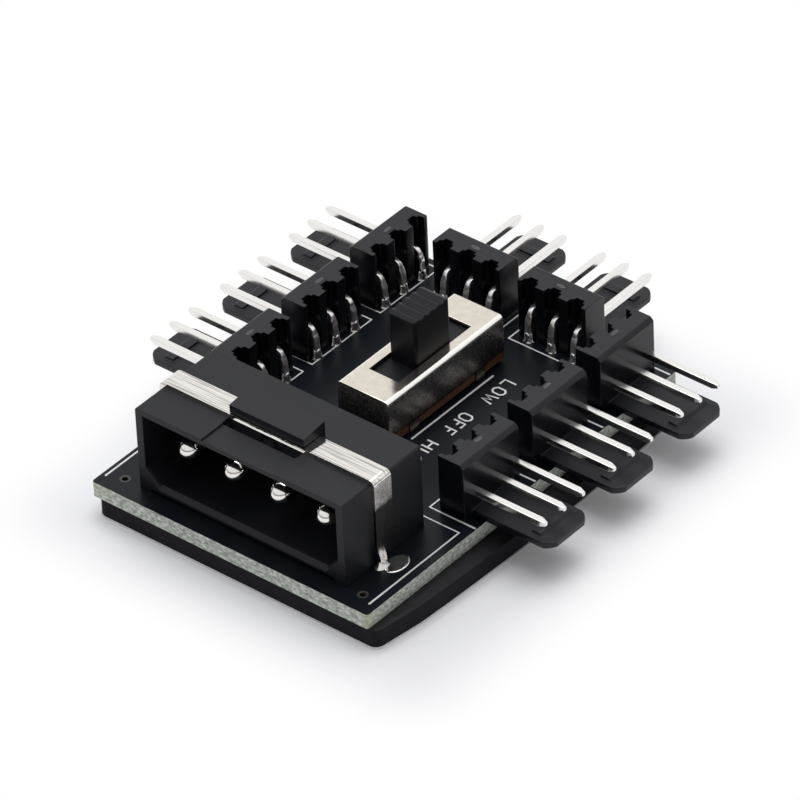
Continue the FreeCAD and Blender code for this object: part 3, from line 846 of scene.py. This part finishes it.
barrel = turned("power_pin", (0, 0, 0), power_rings, sides=40)
combine(barrel, new_box("seam", (seam_left, -2, -1), (seam_right, 2, seam_depth)), "DIFFERENCE")
bpy.ops.object.shade_smooth_by_angle(angle=math.radians(40))
barrel.data.transform(Matrix.Rotation(math.radians(-90), 4, "X"))
barrel.data.transform(Matrix.Translation(Vector((0, power_nose, power_pin_z)) * mm))
tail = bent_pin(
    "tail", tail_side, tail_tip_side, tail_tip_length, web_back - 0.5, power_pin_z, tail_y, tail_bend,
    [(tail_y, tail_end)], -1)
round_edges(tail, 0.06)
power_pin = join("power_pin", [barrel, tail])
for number, x in enumerate(pin_places, start=1):
    pin = copy_to(power_pin, f"power_contact_{number}", (0, Vector((x, 0, 0))))
    fit(pin, "hub", power_tin)
    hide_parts(f"power_pin_{number}")
bpy.data.objects.remove(power_pin)


# Socket strap
# A strip of tinned steel bent over the socket and down its sides. Its two prongs are soldered
# into the board, so that pulling the plug doesn't tear the pins out.

strap_middle = (strap_front + strap_back) / 2
strap_bend = 0.2
joggle_out, joggle_drop = 0.35, 1.2
# Between these heights the strap's side walls get a painted shade
painted_shade_foot, painted_shade_top = 5.4, 9.8
knee = board_top + 2
prong_back = strap_front + 0.8
prong_drop = knee - joggle_drop - tail_end

bpy.ops.object.select_all(action="DESELECT")
bpy.ops.mesh.primitive_plane_add(size=1, location=(0, strap_middle * mm, socket_top * mm))
strap = bpy.context.object
strap.name = "socket_strap"
bpy.ops.transform.resize(value=(2 * socket_half * mm, (strap_back - strap_front) * mm, 1))
bpy.ops.object.transform_apply()
for side in (-1, 1):
    pick(strap, "EDGE", lambda middle, along: side * middle.x > socket_half - slack)
    bpy.ops.mesh.extrude_region_move(TRANSFORM_OT_translate={"value": (0, 0, (knee - socket_top) * mm)})
    done()
pick(strap, "FACE", lambda middle, facing: True)
bpy.ops.mesh.bisect(plane_co=(0, prong_back * mm, 0), plane_no=(0, 1, 0))
done()
for side in (-1, 1):
    pick(strap, "EDGE", lambda middle, along: side * middle.x > socket_half - slack
         and middle.z < knee + slack and middle.y < prong_back - slack)
    for step in ((side * joggle_out, 0, -joggle_drop), (0, 0, -prong_drop)):
        bpy.ops.mesh.extrude_region_move(TRANSFORM_OT_translate={"value": Vector(step) * mm})
    done()
pick(strap, "EDGE", lambda middle, along: abs(middle.x) > socket_half - slack
     and middle.z > socket_top - slack)
bpy.ops.mesh.bevel(offset=strap_bend * mm, segments=4, affect="EDGES")
done()
select_only(strap)
wall = strap.modifiers.new("wall", "SOLIDIFY")
wall.thickness = strap_thickness * mm
wall.offset = 1
wall.use_even_offset = True
bpy.ops.object.modifier_apply(modifier=wall.name)
round_edges(strap, 0.05, 2, 50)

strip = Finish("tinned_strip")
strip_streak = strip.noise(0.16 * mm, 2, (0.03, 1, 1))
strip_patch = strip.noise(1.2 * mm, 2)
# Painted shade: the side walls are painted near black from the prong up to below the top bend, in place of
# the black board that they mirror. The roughness is raised there too.
strip_height = strip.along("z") + strip_patch * (1.2 * mm)
strip_low = strip.slope(strip_height, painted_shade_top * mm, (painted_shade_top + 0.6) * mm, 1, 0)
strip_prong = strip.slope(strip_height, painted_shade_foot * mm, (painted_shade_foot + 0.5) * mm)
strip_painted_shade = strip_low * strip_prong * strip.near("x", 11.5 * mm, 11.6 * mm)
strip_colour = strip.ramp(
    strip_streak, (0.34, grey(0.38, 0.04)), (0.45, grey(0.66, 0.035)), (0.58, grey(0.82, 0.035)))
strip.wears({
    "Base Color": strip.mix(strip_painted_shade * 0.97, strip_colour, grey(0.02, -0.05)),
    "Metallic": 1,
    "Roughness": 0.05 + 0.14 * strip_patch * strip_streak + 0.25 * strip_painted_shade,
    "Normal": strip.bump(strip_patch, 0.02 * mm),
})
fit(strap, "hub", strip)
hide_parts("power_socket_strap")


# Slide switch can
# A cup drawn from nickel-plated sheet, 0.3 mm thick, with a slot for the knob. Four tabs pass
# the base's notches and are folded in under it.

can_left, can_right = -3.2, 2.5
can_front, can_back = -2.5, 13.2
can_bottom = board_top + 1.25
can_top = board_top + 5
can_wall = 0.3
can_round = 0.45
can_corner = 0.12
switch_x, switch_y = -0.35, 5.35
slot_half, slot_reach = 1.62, 4.95
leg_reach = 4.5
leg_half = 0.6
leg_drop = 1.15
foot_length = 1

can = new_box("switch_cover", (can_left, can_front, can_bottom), (can_right, can_back, can_top))
pick(can, "EDGE", lambda middle, along: middle.z > can_top - slack and abs(along.y) > 0.9)
bpy.ops.mesh.bevel(offset=can_round * mm, segments=6, affect="EDGES")
done()
can_middle = (can_front + can_back) / 2
can_half = (can_back - can_front) / 2
pick(can, "EDGE", lambda middle, along: abs(middle.y - can_middle) > can_half - 0.001
     and middle.z > can_bottom + slack)
bpy.ops.mesh.bevel(offset=can_corner * mm, segments=2, affect="EDGES")
done()
room_low = (can_left + can_wall, can_front + can_wall, can_bottom - 1)
room_high = (can_right - can_wall, can_back - can_wall, can_top - can_wall)
combine(can, new_box("room", room_low, room_high), "DIFFERENCE")
slot_low = (switch_x - slot_half, switch_y - slot_reach, can_top - 1)
slot_high = (switch_x + slot_half, switch_y + slot_reach, can_top + 1)
combine(can, new_box("slot", slot_low, slot_high), "DIFFERENCE")
leg_top = can_bottom + 0.2
leg_bottom = can_bottom - leg_drop
foot_top = leg_bottom + can_wall
for outer, inward in ((can_left, 1), (can_right, -1)):
    for y in (switch_y - leg_reach, switch_y + leg_reach):
        front, back = y - leg_half, y + leg_half
        left, right = sorted((outer, outer + inward * can_wall))
        leg = new_box("leg", (left, front, leg_bottom), (right, back, leg_top))
        left, right = sorted((outer, outer + inward * foot_length))
        foot = new_box("foot", (left, front, leg_bottom), (right, back, foot_top))
        combine(leg, foot, "UNION")
        combine(can, leg, "UNION")
round_edges(can, 0.04, 2, 50)

nickel = Finish("nickel_can")
nickel_mottle = nickel.noise(0.7 * mm, 3)
nickel_scratch = nickel.noise(0.12 * mm, 3, (1, 0.15, 1))
nickel_side = 1 - nickel.facing_up()
# Painted reflection: the walls are painted dark brown, most strongly towards the bottom, in place of the
# dark board and the brown base that they mirror.
nickel_painted_reflection = nickel.slope(nickel.along("z"), can_bottom * mm, (can_bottom + 3) * mm, 0.92, 0.5)
nickel_colour = nickel.mix(nickel_mottle, (0.64, 0.585, 0.51, 1), (0.80, 0.755, 0.68, 1))
# Painted highlight: the two rolled long edges, beyond about 2.4 mm from the slot's middle, are painted near
# white.
nickel_across = abs(nickel.along("x") - switch_x * mm)
nickel_painted_highlight = nickel.slope(nickel_across, 2.38 * mm, 2.5 * mm)
nickel_colour = nickel.mix(nickel_painted_highlight, nickel_colour, (0.99, 0.98, 0.955, 1))
nickel.wears({
    "Base Color": nickel.mix(nickel_side * nickel_painted_reflection, nickel_colour, (0.13, 0.085, 0.06, 1)),
    "Metallic": 1,
    "Roughness": 0.12 + 0.1 * nickel_mottle + 0.1 * nickel_side,
    "Normal": nickel.bump((nickel_mottle + nickel_scratch * 0.2) * (1 - 0.9 * nickel_side), 0.006 * mm),
})
fit(can, "hub", nickel)
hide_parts("switch_can")


# Switch base and blades
# The base is punched from brown paper laminate and closes the can from below. Eight tinned
# blades stand in it and run through the board.

laminate_brown = Finish("brown_laminate")
paper_layers = laminate_brown.noise(0.4 * mm, 3, (0.4, 0.4, 5))
laminate_brown.wears({
    "Base Color": laminate_brown.mix(paper_layers, (0.05, 0.015, 0.008, 1), (0.17, 0.06, 0.03, 1)),
    "Roughness": 0.45 + 0.25 * paper_layers,
    "Normal": laminate_brown.bump(paper_layers, 0.02 * mm),
})
dress("switch_base", laminate_brown)
blade_tin = Finish("terminal_tin")
blade_dull = blade_tin.noise(0.3 * mm, 3)
blade_tin.wears({
    "Base Color": blade_tin.mix(blade_dull, grey(0.5), grey(0.75)),
    "Metallic": 1,
    "Roughness": 0.25 + 0.25 * blade_dull,
})
for row in ("left", "right"):
    for number in (1, 2, 3, 4):
        dress(f"switch_terminal_{row}_{number}", blade_tin)


# Slider
# One moulding in black acetal: a plate that runs inside the can and a tall knob with five
# ridges for the fingertip. Two bronze contacts and a steel leaf ride under the plate.

plate_bottom = board_top + 3.65
plate_top = board_top + 4.55
plate_half, plate_reach = 2.3, 5.4
knob_half, knob_reach = 1.5, 2.35
knob_corner = 0.3
knob_top = can_top + 4.7
knob_front, knob_back = switch_y - knob_reach, switch_y + knob_reach
ridge_pitch = (knob_back - knob_front) / 5
ridge_depth = 0.25

plate_low = (switch_x - plate_half, switch_y - plate_reach, plate_bottom)
plate_high = (switch_x + plate_half, switch_y + plate_reach, plate_top)
plate = new_box("slider", plate_low, plate_high)
round_edges(plate, 0.06)
knob_low = (switch_x - knob_half, knob_front, plate_top - 0.4)
knob_high = (switch_x + knob_half, knob_back, knob_top)
knob = new_box("knob", knob_low, knob_high)
pick(knob, "EDGE", lambda middle, along: abs(along.z) > 0.9)
bpy.ops.mesh.bevel(offset=knob_corner * mm, segments=3, affect="EDGES")
for half_ridge in range(1, 10):
    bpy.ops.mesh.select_all(action="SELECT")
    cut_y = knob_front + half_ridge * ridge_pitch / 2
    bpy.ops.mesh.bisect(plane_co=(0, cut_y * mm, 0), plane_no=(0, 1, 0))
done()
knob_places = [vertex.co / mm for vertex in knob.data.vertices]
top_ys = {round(place.y, 4) for place in knob_places if place.z > knob_top - slack}
for y in sorted(top_ys):
    along_ridge = (y - knob_front) / ridge_pitch % 1
    drop = ridge_depth * abs(1 - 2 * along_ridge)
    pick(knob, "VERT", lambda place, normal: place.z > knob_top - slack and abs(place.y - y) < 0.001)
    bpy.ops.transform.translate(value=(0, 0, -drop * mm))
    done()
round_edges(knob, 0.2, 4, 25)
slider = join("slider", [plate, knob])

switch_plastic = Finish("switch_plastic")
plastic_grain = switch_plastic.noise(0.1 * mm, 2)
plastic_cloud = switch_plastic.noise(1.5 * mm, 3)
switch_plastic.wears({
    "Base Color": switch_plastic.mix(plastic_cloud, (0.0045, 0.005, 0.0075, 1), (0.008, 0.0085, 0.012, 1)),
    "Roughness": 0.36 + 0.14 * plastic_cloud,
    "Specular IOR Level": 0.2,
    "Normal": switch_plastic.bump(plastic_grain, 0.008 * mm),
})
fit(slider, "slider", switch_plastic)
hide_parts("switch_slider")

bronze = Finish("contact_bronze")
bronze_stain = bronze.noise(0.5 * mm, 3)
bronze.wears({
    "Base Color": bronze.mix(bronze_stain, (0.55, 0.27, 0.11, 1), (0.80, 0.45, 0.22, 1)),
    "Metallic": 1,
    "Roughness": 0.22 + 0.2 * bronze_stain,
})
dress("switch_contact_left", bronze)
dress("switch_contact_right", bronze)
spring = Finish("spring_steel")
spring_stain = spring.noise(0.4 * mm, 3, (0.2, 1, 1))
spring.wears({
    "Base Color": spring.mix(spring_stain, grey(0.45), grey(0.65)),
    "Metallic": 1,
    "Roughness": 0.2 + 0.2 * spring_stain,
})
dress("switch_detent_spring", spring)


# Studio
# The hub lies on a pale table in a white light tent, seen from its front right corner with a
# long lens. One wide lamp overhead makes the soft shadow.

bpy.ops.object.select_all(action="DESELECT")
bpy.ops.mesh.primitive_plane_add(size=6, location=(0, 0, -0.01 * mm))
table = bpy.context.object
table.name = "table"
paper = Finish("table_paper")


def seen_directly(finish):
    """1 for rays from the camera, a reflection or a clear piece, and 0 for rays that carry light."""
    seen = finish.node("ShaderNodeLightPath", output="Is Camera Ray")
    for kind in ("Is Glossy Ray", "Is Transmission Ray"):
        seen = seen.maths("MAXIMUM", seen, finish.node("ShaderNodeLightPath", output=kind))
    return seen


# The part of the table that stays a little darker than the background
shadow_ends = {"x": (-16, 20), "y": (-21, 22)}
shadow_fade = 9
background_ray = seen_directly(paper)
beyond = []
for axis, (low, high) in shadow_ends.items():
    along = paper.along(axis)
    past = along.maths("MAXIMUM", low * mm - along, along - high * mm)
    past = past.maths("MAXIMUM", past)
    beyond.append(past * past)
beyond = beyond[0] + beyond[1]
beyond = beyond.maths("SQRT", beyond)
far = paper.rise(beyond, 0, shadow_fade * mm)
diffuse = paper.node("ShaderNodeBsdfDiffuse", inputs={"Color": (0.84, 0.845, 0.885, 1)})
white = paper.node("ShaderNodeEmission", inputs={"Color": (1, 1, 1, 1), "Strength": 1})
share = background_ray * (0.08 + 0.92 * far)
lit = paper.node("ShaderNodeMixShader", inputs={0: share, 1: diffuse, 2: white})
plug(paper.nodes["Material Output"].inputs["Surface"], lit)
table.data.materials.append(paper.material)

tent = Finish("light_tent", bpy.data.worlds)
bpy.context.scene.world = tent.material
direction = tent.node("ShaderNodeTexCoord", output="Generated")


def towards(point):
    """How nearly the tent's direction is that of a point: 1 for the same, 0 for square to it."""
    return tent.node("ShaderNodeVectorMath", {"operation": "DOT_PRODUCT"}, {0: direction, 1: point}, "Value")


bright_side = (-0.52, 0.6, 0.61)
window_place = (0.40, 0.60, 0.69)
glow = tent.rise(towards(bright_side), -0.3, 0.85, 0.12, 0.95)
seen = seen_directly(tent)
elevation = tent.node("ShaderNodeSeparateXYZ", inputs={0: direction}, output="Z")
above = tent.rise(elevation, 0.02, 0.35, high=0.9)
window = tent.rise(towards(window_place), 0.86, 0.94)
shown = above.maths("MAXIMUM", above, window)
plug(tent.nodes["Background"].inputs["Strength"], glow + seen * (1 - glow) * shown)
tent.nodes["Background"].inputs["Color"].default_value = (1, 0.995, 0.985, 1)

lamp_place = Vector((-0.12, 0.1, 0.6))
lamp = bpy.data.lights.new("overhead", "AREA")
lamp.shape = "DISK"
lamp.size = 0.5
lamp.energy = 1.8
lamp_object = bpy.data.objects.new("overhead", lamp)
lamp_object.location = lamp_place
lamp_object.rotation_euler = (-lamp_place).to_track_quat("-Z", "Y").to_euler()
bpy.context.collection.objects.link(lamp_object)

camera_place = (0.3447, -0.39406, 0.40459)
camera_heading, camera_dip, camera_roll = 41.037, 37.28, -2.721
camera = bpy.data.cameras.new("camera")
camera.sensor_width = 36
camera.lens = 345.98
camera_object = bpy.data.objects.new("camera", camera)
camera_object.matrix_world = (
    Matrix.Translation(camera_place)
    @ Matrix.Rotation(math.radians(camera_heading), 4, "Z")
    @ Matrix.Rotation(math.radians(90 - camera_dip), 4, "X")
    @ Matrix.Rotation(math.radians(camera_roll), 4, "Z")
)
bpy.context.collection.objects.link(camera_object)
bpy.context.scene.camera = camera_object
bpy.context.scene.view_settings.view_transform = "Standard"
